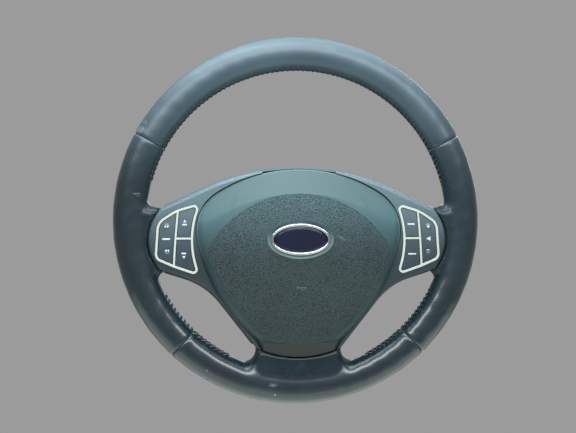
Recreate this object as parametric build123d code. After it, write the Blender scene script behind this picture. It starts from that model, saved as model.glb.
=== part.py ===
"""Car steering wheel: leather rim on a die-cast armature, an airbag module that floats on the horn
springs, and a switch cluster in each side spoke.

Millimetres. X is the driver's right, Z is up and Y runs from the driver to the column. The origin is the
middle of the hub's rear face. A height is measured from that face towards the driver, so it is -Y.
"""
from build123d import *
from math import asin, cos, degrees, radians, sin, sqrt
import os

os.makedirs("parts", exist_ok=True)

# Rim: an oval section carried round the wheel, with its middle plane in front of the hub
rim_diameter = 380.0
rim_width = 34.0
rim_depth = 31.0
rim_height = 68.0
leather_thickness = 1.2
glue_line = 0.15
seam_gap = 0.4
upper_seam_angle = 28.0
lower_seam_angle = 46.5

rim_radius = (rim_diameter - rim_width) / 2
rim_inner_radius = rim_radius - rim_width / 2

# Spoke roots, where the leather runs off the rim towards the hub
root_top = 14.0
root_bottom = -53.5
side_root_rear = rim_height - 14.0
side_root_front = rim_height + 12.0
lower_root_half_width = 45.5
lower_root_thickness = 26.0
root_edge_round = 10.0
side_root_blend = 8.0
lower_root_blend = 11.0
root_length = 45.0

# Hub and side spokes seen from the front
hub_top = 53.7
hub_shoulder = (rim_inner_radius - 71.0, 37.9)
spoke_top = (rim_inner_radius - 15.0, 12.7)
spoke_end = (rim_inner_radius - 1.3, -21.0)
spoke_bottom = (rim_inner_radius - 12.5, -50.5)
spoke_corner = (rim_inner_radius - 61.4, -66.0)
spoke_corner_round = 75.0
hub_bottom = -(rim_inner_radius - 14.0)
hub_foot = (43.0, hub_bottom + 10.0)

# Covers: the rear cover shows as a narrow lip outside the spoke trims
cover_reveal = 1.8
cover_wall = 2.3
cover_gap = 0.5
parting_height = rim_height - 2.0
parting_gap = 0.3
lip_end_x = spoke_top[0] - 3.0
lip_end_z = hub_foot[1] + 4.0
column_opening_radius = 44.0
cover_back = [
    (column_opening_radius + 10.0, 4.0),
    (column_opening_radius + 32.0, 18.0),
    (rim_inner_radius - 51.0, rim_height - 32.5),
    (rim_inner_radius - 26.0, rim_height - 20.5),
    (rim_inner_radius - 8.0, rim_height - 15.0),
]

# Spoke trims: a shallow dome with rolled edges
trim_dome_radius = 1700.0
trim_dome_z = -20.0
trim_crown = rim_height + 17.0
trim_edge_roll = 4.0
trim_tip_x = 38.0
trim_tip_length = 36.0

# Switch clusters
switch_frame_width = 2.4
switch_divider_width = 2.04
switch_frame_rise = 0.9
switch_key_rise = 0.2
switch_gap = 0.2
key_gap = 0.55
key_rear = trim_crown - 10.0
key_edge = 0.5
key_travel = 1.2
switch_outer_x = spoke_end[0] - 8.7
switch_inner_x = switch_outer_x - 43.7
switch_divider_z = -18.5
frame_rear = key_rear - 1.0
case_rear = key_rear - 10.5
case_wall = 1.5
case_inset = 0.3
board_rear = case_rear + 3.7
board_thickness = 1.2
board_gap = 0.4
peg_radius = 1.6
mat_thickness = 0.8
mat_dome_wall = 0.6
plunger_radius = 2.6
plunger_length = 2.2
press_room = 0.3
rocker_pivot_radius = 1.8
rocker_pivot_length = 13.0
rocker_saddle_gap = 0.1
saddle_post = (2.4, 7.0)
saddle_inset = 1.5
rocker_touch_radius = 3.6
rocker_touch_reach = 12.2
rocker_touch_rise = 0.9

# Airbag cover: a shield with a domed face, a brow above it and a lip below it
pad_gap = 0.8
pad_wall = 3.0
pad_room = 1.4
pad_top = 52.2
pad_shoulder = (switch_inner_x + 6.0, 9.0)
pad_shoulder_round = 46.0
pad_waist = (switch_inner_x - 20.1, -76.0)
pad_knee = (44.6, hub_bottom + 21.0)
pad_foot = (38.6, hub_bottom + 9.2)
pad_knee_round = 20.0
pad_foot_round = 5.0
pad_bottom = hub_bottom + 1.0
pad_base = parting_height + parting_gap
pad_dome_radius = 420.0
pad_dome_z = -30.0
pad_crown = trim_crown + 15.0
pad_edge_roll = 4.0
pad_side_roll = 11.0
pad_face_proud = 0.4
brow_centre_z = -79.0
brow_radius = 106.0
brow_slope = 0.5
lip_margin = 15.3
lip_centre_z = 40.0
lip_radius = lip_centre_z - pad_bottom - lip_margin
lip_slope = 0.55

# Badge
badge_width = 60.0
badge_height = 32.0
badge_z = -19.2
badge_rim_width = 2.8
badge_rim_round = 1.176
badge_dome_radius = 180.0
badge_rise = 2.0
badge_recess_margin = 3.6
badge_recess_floor = 0.6
badge_recess_depth = 1.6
badge_gap = 0.1

# Airbag module behind the cover
tray_half_width = pad_shoulder[0] - 44.5
tray_height = 112.0
tray_z = -32.0
tray_corner = 15.0
tray_rear = rim_height - 8.0
tray_depth = 12.0
tray_sheet = 1.6
skirt_gap = 0.3
skirt_wall = 2.6
skirt_rear = tray_rear + 4.0
rivet_radius = 2.0
rivet_head_radius = 3.6
rivet_head = 1.2
rivet_height = tray_rear + 8.0
rivet_reach_z = 30.0
inflator_radius = 30.0
inflator_rear = tray_rear - 10.0
inflator_front = tray_rear + 19.0
inflator_crimp = (3.0, 4.0)
inflator_shoulder = (5.0, 6.0)
inflator_crown = 1.5
flange_size = 66.0
flange_corner = 14.0
flange_thickness = 1.8
ring_margin = 2.0
stud_offset = 25.5
stud_radius = 3.0
stud_end = tray_rear - 8.0
nut_flats = 10.0
nut_height = 5.0
fastener_gap = 0.05
cushion_gap = 1.0
cushion_front = tray_rear + 28.0

# Horn mechanism
horn_travel = 2.5
pin_radius = 4.0
pin_running_gap = 0.06
pin_end = tray_rear - 32.0
pin_collar_radius = 5.6
pin_collar = 2.5
side_pin = (tray_half_width - 10.0, 2.0)
lower_pin = (0.0, tray_z - tray_height / 2 + 8.0)
ear_radius = 10.0
ear_rear = tray_rear - 28.0
ear_front = tray_rear - 14.0
bush_wall = 2.0
bush_flange_radius = 9.5
bush_flange = 1.0
spring_radius = 7.2
spring_wire = 1.4
spring_turns = 3.0
spring_end_gap = 0.1
clip_thickness = 1.0
clip_radius = 6.5
clip_groove = 0.8
contact_radius = 2.5
contact_side = 15.0
contact_tip = 4.0

# Armature: hub plate and spokes cast round the ends of a steel rim ring
ring_rod = 10.0
ring_sleeve = (16.0, 15.0)
ring_sleeve_margin = 4.0
plate_radius = 46.0
plate_rear = 26.0
plate_front = 36.0
plate_hole_radius = 6.0
plate_hole_circle = 34.0
sleeve_radius = 24.0
contact_seat = plate_front + 2.0
side_near = (34.0, 31.0, -4.0, 34.0)
side_middle = (spoke_end[0] - 49.7, rim_height - 15.0, -18.0, 26.0)
side_far = (spoke_end[0] - 6.7, rim_height - 8.0, -21.0, 26.0)
side_ring = (rim_radius - 4.0, rim_height, -24.0, 30.0)
spoke_thickness = 8.0
leg_thin = 6.0
lower_near = (30.0, 31.0, 20.0, 22.0, spoke_thickness)
lower_middle = (rim_radius - 78.0, rim_height - 15.5, 28.0, 18.0, spoke_thickness)
lower_knee = (2.0 - hub_foot[1], rim_height - 8.0, 28.0, 17.0, leg_thin)
lower_far = (1.0 - hub_bottom, rim_height - 7.8, 28.5, 17.0, leg_thin)
lower_ring = (rim_radius - 4.0, rim_height, 30.0, 20.0, spoke_thickness)
spoke_floor = 4.0
spoke_rib = 4.0
spoke_clearance = 0.5
bridge_height = 24.0
bridge_thickness = 8.0
boss_radius = 15.0
boss_flange_radius = 20.0
boss_flange = 5.0
boss_length = 38.0
pilot_radius = 9.0
pilot_length = 10.0
spline_teeth = 36
spline_root_radius = 8.8
spline_tip_radius = 8.0
spline_length = 20.0
nut_seat_radius = 13.0

# Screws
cover_screw_points = [(rim_inner_radius - 65.0, 30.0), (rim_inner_radius - 59.0, -59.0)]
cover_screw_radius = 1.3
cover_screw_head_radius = 2.6
cover_screw_head = 2.4
cover_screw_seat = parting_height - 8.0
cover_screw_reach = parting_height + 6.0
screw_post_radius = 3.2
screw_boss_radius = 3.9
switch_screw_x = switch_outer_x - 29.0
switch_screw_reach_z = 9.0
switch_screw_radius = 1.4
switch_screw_head_radius = 2.6
switch_screw_head = 1.6
switch_boss_radius = 4.5
switch_screw_depth = 8.0

front_limit = 120.0
driver = (0, -1, 0)


def level(height):
    """Front-view sketch plane at a height in front of the hub's rear face."""
    return Plane.XZ.offset(height)


def prism(sketch, low, high):
    """Solid between two heights with a front-view outline."""
    return extrude(level(low) * sketch, amount=high - low, dir=driver)


def rod(x, z, radius, low, high):
    """Round bar along the column direction."""
    return prism(Pos(x, z) * Circle(radius), low, high)


def dome(radius, centre_z, crown):
    """Ball whose nearest point to the driver lies at the crown height."""
    return Pos(0, radius - crown, centre_z) * Sphere(radius)


def dome_height(radius, centre_z, crown, x, z):
    return crown - radius + sqrt(radius**2 - x**2 - (z - centre_z) ** 2)


def mirrored(shape):
    return mirror(shape, about=Plane.YZ)


def corners_at(sketch, x, z):
    """The two mirrored outline corners at a distance x from the middle."""
    return [v for v in sketch.vertices() if abs(abs(v.X) - x) < 0.05 and abs(v.Y - z) < 0.05]


def flipped(point):
    return (-point[0], point[1])


# Outlines


def hub_outline():
    """Front outline of the spoke trims and the airbag cover together."""
    right = [
        Line(hub_shoulder, spoke_top),
        ThreePointArc(spoke_top, spoke_end, spoke_bottom),
        Polyline(spoke_bottom, spoke_corner, hub_foot),
    ]
    crown = ThreePointArc(flipped(hub_shoulder), (0, hub_top), hub_shoulder)
    base = ThreePointArc(flipped(hub_foot), (0, hub_bottom), hub_foot)
    left = [mirror(piece, about=Plane.YZ) for piece in right]
    face = make_face([crown, base] + right + left)
    face = fillet(corners_at(face, *spoke_corner), spoke_corner_round)
    return fillet(corners_at(face, *spoke_top), trim_edge_roll)


def cover_outline(hub):
    """Outline of the rear cover: the hub's, with a lip outside the trims that stops at the leather."""
    lip_height = hub_top + cover_reveal - lip_end_z
    lip_zone = Pos(0, lip_end_z + lip_height / 2) * Rectangle(2 * lip_end_x, lip_height)
    return hub + (offset(hub, cover_reveal) & lip_zone)


def shield(foot, base):
    """Crown and flanks of the airbag cover, closed below by a base between its feet."""
    right = [ThreePointArc(pad_shoulder, pad_waist, pad_knee), Line(pad_knee, foot)]
    crown = ThreePointArc(flipped(pad_shoulder), (0, pad_top), pad_shoulder)
    left = [mirror(piece, about=Plane.YZ) for piece in right]
    face = make_face([crown, base] + right + left)
    face = fillet(corners_at(face, *pad_shoulder), pad_shoulder_round)
    return fillet(corners_at(face, *pad_knee), pad_knee_round)


def pad_outline():
    """Shield outline of the airbag cover."""
    face = shield(pad_foot, ThreePointArc(flipped(pad_foot), (0, pad_bottom), pad_foot))
    return fillet(corners_at(face, *pad_foot), pad_foot_round)


def pad_face_outline():
    """The shield a little proud of its wall, with flanks that run on past the lip, for the domed face."""
    share = 1 + pad_knee_round / (pad_knee[1] - pad_foot[1])
    foot = tuple(knee + share * (low - knee) for knee, low in zip(pad_knee, pad_foot))
    return offset(shield(foot, Line(flipped(foot), foot)), pad_face_proud, kind=Kind.INTERSECTION)


def switch_outline():
    """Middle line of the right switch frame, hollow towards the airbag cover."""
    outer = switch_outer_x
    inner = switch_inner_x
    top = (inner - 0.5, 16.3)
    low = (inner, -55.4)
    bends = [
        (top, 3.5),
        ((outer - 21.0, 9.5), 40.0),
        ((outer - 2.4, -2.5), 14.0),
        ((outer, -38.8), 7.0),
        ((outer - 19.0, -47.0), 40.0),
        (low, 3.5),
    ]
    path = Polyline(*[point for point, bend in bends])
    hollow = ThreePointArc(low, (inner + 7.0, -19.2), top)
    face = make_face([path, hollow])
    for point, bend in bends:
        face = fillet(corners_at(face, *point), bend)
    return face


def switch_dividers():
    """Bars between the keys of the right cluster: one upright and one across."""
    outer = switch_outer_x
    upright = ThreePointArc((outer - 23.4, 18.0), (outer - 20.0, switch_divider_z), (outer - 18.1, -54.0))
    across = Line((switch_inner_x - 5.0, switch_divider_z), (outer - 20.0, switch_divider_z))
    return trace(upright, switch_divider_width) + trace(across, switch_divider_width)


hub = hub_outline()
pad = pad_outline()
pad_face = pad_face_outline()
switch = switch_outline()
dividers = switch_dividers()

# Armature


def side_spoke(widen=0.0, thicken=0.0, raised=0.0):
    """Right spoke of the armature, swept through its stations from hub plate to rim ring."""
    sections = []
    for x, height, z, width in (side_near, side_middle, side_far, side_ring):
        section = Rectangle(spoke_thickness + thicken, width + widen)
        sections.append(Plane.YZ.offset(x) * Pos(-height - raised, z) * section)
    return loft(sections, ruled=True)


def lower_spoke(widen=0.0, thicken=0.0, raised=0.0):
    """Right one of the two legs that carry the bottom of the rim ring."""
    sections = []
    stations = [lower_near, lower_middle, lower_knee, lower_far, lower_ring]
    for drop, height, x, width, thickness in stations:
        section = Rectangle(width + widen, thickness + thicken)
        sections.append(Plane.XY.offset(-drop) * Pos(x, -height - raised) * section)
    return loft(sections, ruled=True)


def spoke_troughs():
    """Lightening troughs in the driver's side of the right spoke and leg, between their ribs."""
    near = plate_radius + spoke_rib
    far = rim_radius - ring_sleeve[0] - spoke_rib
    across = prism(Pos((near + far) / 2, 0) * Rectangle(far - near, 2 * rim_radius), 0, front_limit)
    down = prism(Pos(0, -(near + far) / 2) * Rectangle(2 * rim_radius, far - near), 0, front_limit)
    side = side_spoke(widen=-2 * spoke_rib, raised=spoke_floor) & across
    leg = lower_spoke(widen=-2 * spoke_rib, raised=spoke_floor) & down
    return [side, leg]


def spoke_room():
    """Space that the covers leave round the right spoke and leg."""
    room = 2 * spoke_clearance
    return [side_spoke(widen=room, thicken=room), lower_spoke(widen=room, thicken=room)]


def rim_ring(room=0.0):
    """Round steel bar inside the rim, bent into a full ring."""
    return revolve(Plane.XY * Pos(rim_radius, -rim_height) * Circle(ring_rod / 2 + room), Axis.Y)


def ring_sleeve_at(middle, width):
    """Cast sleeve round the ring at the end of a spoke, at an angle from the driver's right."""
    section = Plane.XY * Pos(rim_radius, -rim_height) * Rectangle(*ring_sleeve)
    reach = degrees(asin((width / 2 + ring_sleeve_margin) / rim_radius))
    return revolve(Rot(0, reach - middle, 0) * section, Axis((0, 0, 0), driver), revolution_arc=2 * reach)


def ring_sleeves():
    """Sleeves of the right spoke and the right leg."""
    side = ring_sleeve_at(degrees(asin(side_ring[2] / rim_radius)), side_ring[3])
    leg = ring_sleeve_at(degrees(asin(lower_ring[2] / rim_radius)) - 90.0, lower_ring[3])
    return [side, leg]


def armature():
    plate = Circle(plate_radius) - PolarLocations(plate_hole_circle, 4, 45) * Circle(plate_hole_radius)
    body = prism(plate, plate_rear, plate_front) + rod(0, 0, sleeve_radius, boss_flange, plate_front)
    spokes = [side_spoke(), lower_spoke()] + ring_sleeves()
    troughs = spoke_troughs()
    bridge = Pos(*lower_pin) * Rectangle(2 * lower_middle[2], bridge_height)
    bridge = prism(bridge, ear_front - bridge_thickness, ear_front)
    body = body + spokes + [mirrored(spoke) for spoke in spokes]
    body = body - troughs - [mirrored(trough) for trough in troughs] + bridge
    for x, z in [side_pin, flipped(side_pin), lower_pin]:
        body = body + rod(x, z, ear_radius, ear_rear, ear_front)
    for x, z in contact_points():
        body = body + rod(x, z, 2 * contact_radius, plate_rear, contact_seat)
    for x, z in switch_screw_points():
        post = rod(x, z, switch_boss_radius, case_rear - switch_screw_depth - spoke_floor, case_rear)
        body = body + [post, mirrored(post)]
    for x, z in [side_pin, flipped(side_pin), lower_pin]:
        body = body - rod(x, z, pin_radius + bush_wall, 0, front_limit)
        body = body - rod(x, z, clip_radius + pad_gap, 0, ear_rear)
    for x, z in switch_screw_points():
        hole = rod(x, z, switch_screw_radius, case_rear - switch_screw_depth, front_limit)
        body = body - [hole, mirrored(hole)]
    return body - rod(0, 0, boss_radius, 0, front_limit) - rim_ring(fastener_gap)


def switch_screw_points():
    reach = switch_screw_reach_z
    return [(switch_screw_x, switch_divider_z + reach), (switch_screw_x, switch_divider_z - reach)]


def hub_boss():
    body = rod(0, 0, boss_radius, 0, boss_length) + rod(0, 0, boss_flange_radius, 0, boss_flange)
    points = []
    for step in range(2 * spline_teeth):
        radius = spline_tip_radius if step % 2 else spline_root_radius
        angle = radians(180.0 * step / spline_teeth)
        points.append((radius * cos(angle), radius * sin(angle)))
    serration = make_face(Polyline(*points, close=True))
    nut_seat = pilot_length + spline_length
    body = body - rod(0, 0, pilot_radius, 0, pilot_length)
    body = body - prism(serration, pilot_length, nut_seat)
    return body - rod(0, 0, nut_seat_radius, nut_seat, boss_length)


# Rim foam and leather


def rim_arc(start, end, inset):
    """Part of the rim's oval bar between two angles, measured from the driver's right."""
    oval = Plane.XY * Pos(rim_radius, -rim_height) * Ellipse(rim_width / 2 - inset, rim_depth / 2 - inset)
    return revolve(Rot(0, -start, 0) * oval, Axis((0, 0, 0), driver), revolution_arc=end - start)


def blended(bar, root, radius):
    """Join a spoke root to the rim's bar with a hollow blend all round."""
    joined = bar + root
    return fillet(new_edges(bar, root, combined=joined), radius)


def right_rim(inset):
    start = -lower_seam_angle
    height = root_top - root_bottom - 2 * inset
    thickness = side_root_front - side_root_rear - 2 * inset
    root = Box(root_length, thickness, height)
    root = fillet(root.edges().filter_by(Axis.X), root_edge_round - inset)
    middle = (side_root_front + side_root_rear) / 2
    root = Pos(rim_radius - root_length / 2, -middle, (root_top + root_bottom) / 2) * root
    return blended(rim_arc(start, upper_seam_angle, inset), root, side_root_blend + inset)


def lower_rim(inset):
    root = Box(2 * (lower_root_half_width - inset), lower_root_thickness - 2 * inset, root_length)
    root = fillet(root.edges().filter_by(Axis.Z), root_edge_round - inset)
    root = Pos(0, -rim_height, root_length / 2 - rim_radius) * root
    bar = rim_arc(180.0 + lower_seam_angle, 360.0 - lower_seam_angle, inset)
    return blended(bar, root, lower_root_blend + inset)


def upper_rim(inset):
    return rim_arc(upper_seam_angle, 180.0 - upper_seam_angle, inset)


def seam_cut(angle):
    """Thin radial slot that parts two leather panels."""
    slot = Pos(rim_radius, 0) * Rectangle(2 * rim_width, seam_gap)
    return prism(Rot(0, 0, angle) * slot, rim_height - rim_depth, rim_height + rim_depth)


def leather_panels():
    inset = leather_thickness
    hub_space = prism(offset(cover_outline(hub), cover_gap), 0, front_limit)
    right = right_rim(0) - right_rim(inset) - hub_space
    right = right - seam_cut(upper_seam_angle) - seam_cut(-lower_seam_angle)
    lower = lower_rim(0) - lower_rim(inset) - hub_space
    lower = lower - seam_cut(-lower_seam_angle) - seam_cut(180.0 + lower_seam_angle)
    upper = upper_rim(0) - upper_rim(inset)
    upper = upper - seam_cut(upper_seam_angle) - seam_cut(180.0 - upper_seam_angle)
    return {
        "leather_upper": upper,
        "leather_left": mirrored(right),
        "leather_right": right,
        "leather_lower": lower,
    }


def rim_foam(core):
    inset = leather_thickness + glue_line
    right = right_rim(inset)
    foam = upper_rim(inset) + [right, mirrored(right), lower_rim(inset)]
    foam = foam - prism(offset(cover_outline(hub), cover_gap), 0, front_limit)
    return foam - core - rim_ring(glue_line)


# Rear cover


def cover_bowl(inset):
    """Turned form behind the hub: deep round the column, shallow along the spokes."""
    edge = [(radius, height + inset) for radius, height in cover_back]
    reach = rim_radius
    start = (0, edge[0][1])
    outline = [
        Line(start, edge[0]),
        Spline(*edge, tangents=[(0.55, 0.84), (1, 0.18)]),
        Polyline(edge[-1], (reach, edge[-1][1]), (reach, front_limit), (0, front_limit), start),
    ]
    return revolve(Plane.XY * mirror(make_face(outline), about=Plane.XZ), Axis.Y)


def cover_screw_sets():
    return cover_screw_points + [flipped(point) for point in cover_screw_points]


def rear_cover():
    outline = cover_outline(hub)
    outer = prism(outline, 0, parting_height) & cover_bowl(0)
    inner = prism(offset(outline, -cover_wall), 0, front_limit) & cover_bowl(cover_wall)
    body = outer - inner
    for x, z in cover_screw_sets():
        body = body + (rod(x, z, screw_boss_radius, 0, parting_height) & outer)
    for x, z in cover_screw_sets():
        body = body - rod(x, z, cover_screw_head_radius + switch_gap, 0, cover_screw_seat)
        body = body - rod(x, z, cover_screw_radius + switch_gap, 0, front_limit)
    body = body - rod(0, 0, column_opening_radius, 0, parting_height / 2)
    body = body - prism(offset(pad, pad_room), pad_base - horn_travel - press_room, front_limit)
    room = spoke_room()
    return body - room - [mirrored(space) for space in room]


# Spoke trims and switch clusters


def trim_form(outline, low, inset):
    body = prism(outline, low, front_limit) & dome(trim_dome_radius, trim_dome_z, trim_crown - inset)
    front = body.edges().filter_by(lambda edge: edge.center().Y < -parting_height - trim_edge_roll)
    return fillet(front, trim_edge_roll - inset)


def right_trim():
    half = Pos(trim_tip_x + rim_radius, 0) * Rectangle(2 * rim_radius, 2 * rim_radius)
    base = parting_height + parting_gap
    shell = trim_form(hub, base, 0) & prism(half - offset(pad, pad_gap), 0, front_limit)
    hollow = trim_form(offset(hub, -cover_wall), parting_height - cover_wall, cover_wall)
    hollow = hollow & prism(Pos(trim_tip_length, 0) * half - offset(pad, pad_gap + cover_wall), 0, front_limit)
    shell = shell - hollow
    for x, z in cover_screw_points:
        post = rod(x, z, screw_post_radius, base, front_limit) & trim_form(hub, base, 0)
        shell = shell + post - rod(x, z, cover_screw_radius, base, cover_screw_reach)
    window = prism(offset(switch, switch_frame_width / 2 + switch_gap), 0, front_limit)
    return shell - window - spoke_room()


def right_frame():
    ring = offset(switch, switch_frame_width / 2)
    opening = offset(switch, -switch_frame_width / 2) - dividers
    skin = dome(trim_dome_radius, trim_dome_z, trim_crown + switch_frame_rise)
    return prism(ring - opening, frame_rear, front_limit) & skin


def key_cells():
    """Outlines of the rocker, the upper key and the lower key of the right cluster."""
    cells = (offset(switch, -switch_frame_width / 2) - dividers).faces()
    rocker = max(cells, key=lambda face: face.center().X)
    others = sorted([face for face in cells if face is not rocker], key=lambda face: -face.center().Y)
    return [offset(face, -key_gap) for face in [rocker] + others]


def key_cap(cell):
    skin = dome(trim_dome_radius, trim_dome_z, trim_crown + switch_key_rise)
    cap = prism(cell, key_rear, front_limit) & skin
    front = cap.edges().filter_by(lambda edge: edge.center().Y < -key_rear - 2.0)
    return fillet(front.filter_by(Axis.Y, reverse=True), key_edge)


def push_key(cell):
    centre = cell.center()
    return key_cap(cell) + rod(centre.X, centre.Y, plunger_radius, key_rear - plunger_length, key_rear)


def rocker_points(cell):
    """Middle of the rocker, then its upper and lower touch points."""
    middle = cell.center().X
    return [(middle, switch_divider_z + reach) for reach in (0, rocker_touch_reach, -rocker_touch_reach)]


def rocker_key(cell):
    pivot, upper, lower = rocker_points(cell)
    cap = key_cap(cell)
    ball = (rocker_touch_radius**2 + rocker_touch_rise**2) / (2 * rocker_touch_rise)
    for (x, z), way in ((upper, 1), (lower, -1)):
        skin = dome_height(trim_dome_radius, trim_dome_z, trim_crown + switch_key_rise, x, z)
        height = skin + way * (rocker_touch_rise - ball)
        touch = Pos(x, -height, z) * Sphere(ball) & rod(x, z, rocker_touch_radius, key_rear, front_limit)
        cap = cap + touch if way > 0 else cap - touch
    for x, z in (upper, lower):
        cap = cap + rod(x, z, plunger_radius, key_rear - plunger_length, key_rear)
    barrel = Pos(pivot[0], -key_rear, pivot[1]) * Rot(0, 90, 0)
    return cap + barrel * Cylinder(rocker_pivot_radius, rocker_pivot_length)


def right_case(rocker):
    """Open box behind the keys, with two saddles for the rocker's pivot."""
    outline = offset(switch, switch_frame_width / 2 - case_inset)
    room = prism(offset(outline, -case_wall), case_rear + case_wall, front_limit)
    body = prism(outline, case_rear, frame_rear) - room
    pivot = rocker_points(rocker)[0]
    for place in saddle_places(rocker):
        body = body + prism(place * Rectangle(*saddle_post), case_rear, key_rear - press_room)
    saddle = Pos(pivot[0], -key_rear, pivot[1]) * Rot(0, 90, 0)
    body = body - saddle * Cylinder(rocker_pivot_radius + rocker_saddle_gap, 2 * rocker_pivot_length)
    for x, z in switch_screw_points():
        body = body - rod(x, z, switch_screw_radius + switch_gap, 0, front_limit)
    for x, z in board_pegs():
        body = body + rod(x, z, peg_radius, case_rear, board_rear)
    return body


def saddle_places(rocker):
    pivot = rocker_points(rocker)[0]
    reach = rocker_pivot_length / 2 - saddle_inset
    return [Pos(pivot[0] - reach, pivot[1]), Pos(pivot[0] + reach, pivot[1])]


def board_pegs():
    return [(switch_outer_x - 8.0, -31.0), (switch_outer_x - 8.0, -8.0), (switch_inner_x + 12.0, switch_divider_z)]


def inner_sheet(rocker, low, thickness):
    """Flat layer inside the switch case, cut clear of the rocker's saddles."""
    sheet = offset(switch, switch_frame_width / 2 - case_inset - case_wall - board_gap)
    for place in saddle_places(rocker):
        sheet = sheet - place * Rectangle(saddle_post[0] + 2 * board_gap, saddle_post[1] + 2 * board_gap)
    return prism(sheet, low, low + thickness)


def right_mat(cells):
    """Rubber mat with a dome under each press point."""
    low = board_rear + board_thickness
    body = inner_sheet(cells[0], low, mat_thickness)
    tip = key_rear - plunger_length - key_travel - press_room
    points = rocker_points(cells[0])[1:] + [(cell.center().X, cell.center().Y) for cell in cells[1:]]
    for x, z in points:
        body = body + rod(x, z, plunger_radius + mat_dome_wall, low, tip)
    return body


def right_switch_screws():
    body = []
    seat = case_rear + case_wall
    for x, z in switch_screw_points():
        head = rod(x, z, switch_screw_head_radius, seat, seat + switch_screw_head)
        body.append(head + rod(x, z, switch_screw_radius, case_rear - switch_screw_depth, seat))
    return body


def cover_screws():
    body = []
    for x, z in cover_screw_sets():
        head = rod(x, z, cover_screw_head_radius, cover_screw_seat - cover_screw_head, cover_screw_seat)
        body.append(head + rod(x, z, cover_screw_radius, cover_screw_seat, cover_screw_reach))
    return body


# Airbag module


def cone(centre_z, radius, height, slope):
    """Solid cone about an axis along Y that passes through one circle and falls away outside it."""
    reach = 1.3 * (radius + abs(centre_z))
    tip = height + slope * radius
    profile = [(0, -reach), (0, tip), (reach, tip - slope * reach), (reach, -reach)]
    face = make_face(Polyline(*[(out, -up) for out, up in profile], close=True))
    return Pos(0, 0, centre_z) * revolve(Plane.XY * face, Axis.Y)


def pad_fronts(inset):
    """The three surfaces that bound the airbag cover's face: dome, brow and lip."""
    brow_top = dome_height(pad_dome_radius, pad_dome_z, pad_crown, 0, brow_centre_z + brow_radius)
    lip_top = dome_height(pad_dome_radius, pad_dome_z, pad_crown, 0, lip_centre_z - lip_radius)
    return [
        dome(pad_dome_radius, pad_dome_z, pad_crown - inset),
        cone(brow_centre_z, brow_radius, brow_top - inset, brow_slope),
        cone(lip_centre_z, lip_radius, lip_top - inset, lip_slope),
    ]


def pad_form(inset, low, rolls):
    """Airbag cover as a solid: each front surface is met by the side wall in its own rolled edge."""
    forms = []
    for front, outline, roll in zip(pad_fronts(inset), (pad_face, pad, pad), rolls):
        form = prism(offset(outline, -inset) if inset else outline, low, 2 * front_limit) & front
        if roll:
            edges = form.edges().filter_by(lambda edge: edge.center().Y < -low - pad_edge_roll)
            edges = edges.filter_by(lambda edge: edge.center().Z > pad_bottom - pad_edge_roll)
            form = fillet(edges.filter_by(Axis.Y, reverse=True), roll)
        forms.append(form)
    return forms[0] & forms[1] & forms[2]


def badge_oval(margin):
    return Pos(0, badge_z) * Ellipse(badge_width / 2 + margin, badge_height / 2 + margin)


badge_seat = dome_height(pad_dome_radius, pad_dome_z, pad_crown, 0, badge_z) - badge_recess_depth


def badge_recess():
    """Dished seat of the badge, wider at the face than at its floor."""
    flare = (badge_recess_margin - badge_recess_floor) / badge_recess_depth
    reach = 2 * badge_recess_depth
    floor = level(badge_seat) * badge_oval(badge_recess_floor)
    mouth = level(badge_seat + reach) * badge_oval(badge_recess_floor + flare * reach)
    return loft([floor, mouth], ruled=True)


def tray_outline(margin):
    size = (2 * (tray_half_width + margin), tray_height + 2 * margin)
    return Pos(0, tray_z) * RectangleRounded(*size, tray_corner + margin)


def airbag_cover():
    outer = pad_form(0, pad_base, (pad_side_roll, pad_edge_roll, pad_edge_roll))
    shell = outer - pad_form(pad_wall, pad_base - pad_wall, (pad_side_roll - pad_wall, 0, 0))
    skirt = tray_outline(skirt_gap + skirt_wall) - tray_outline(skirt_gap)
    shell = shell + (prism(skirt, skirt_rear, front_limit) & pad_form(pad_wall / 2, skirt_rear, (0, 0, 0)))
    shell = shell - badge_recess()
    return shell - rivet_bars(rivet_radius + fastener_gap, 4 * skirt_wall)


def rivet_bars(radius, length):
    """Round bars across the two upright sides of the tray."""
    bars = []
    for side in (-1, 1):
        for way in (-1, 1):
            place = Pos(side * tray_half_width, -rivet_height, tray_z + way * rivet_reach_z)
            bars.append(place * Rot(0, 90, 0) * Cylinder(radius, length))
    return bars


def cover_rivets():
    inside = tray_half_width - tray_sheet
    outside = tray_half_width + skirt_gap + skirt_wall
    from_end = (Align.CENTER, Align.CENTER, Align.MIN)
    rivet = Pos(0, 0, inside) * Cylinder(rivet_radius, outside - inside, align=from_end)
    for end in (inside - rivet_head, outside):
        rivet = rivet + Pos(0, 0, end) * Cylinder(rivet_head_radius, rivet_head, align=from_end)
    body = []
    for side in (-1, 1):
        for way in (-1, 1):
            body.append(Pos(0, -rivet_height, tray_z + way * rivet_reach_z) * Rot(0, 90 * side, 0) * rivet)
    return body


def stud_points():
    return [(x, tray_z + z) for x in (-stud_offset, stud_offset) for z in (-stud_offset, stud_offset)]


def airbag_tray():
    outline = tray_outline(0)
    body = prism(outline, tray_rear, tray_rear + tray_depth)
    body = body - prism(tray_outline(-tray_sheet), tray_rear + tray_sheet, front_limit)
    body = body - rod(0, tray_z, inflator_radius + switch_gap, 0, front_limit)
    for x, z in stud_points():
        body = body - rod(x, z, stud_radius + fastener_gap, 0, front_limit)
    return body - rivet_bars(rivet_radius + fastener_gap, 4 * tray_sheet)


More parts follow.
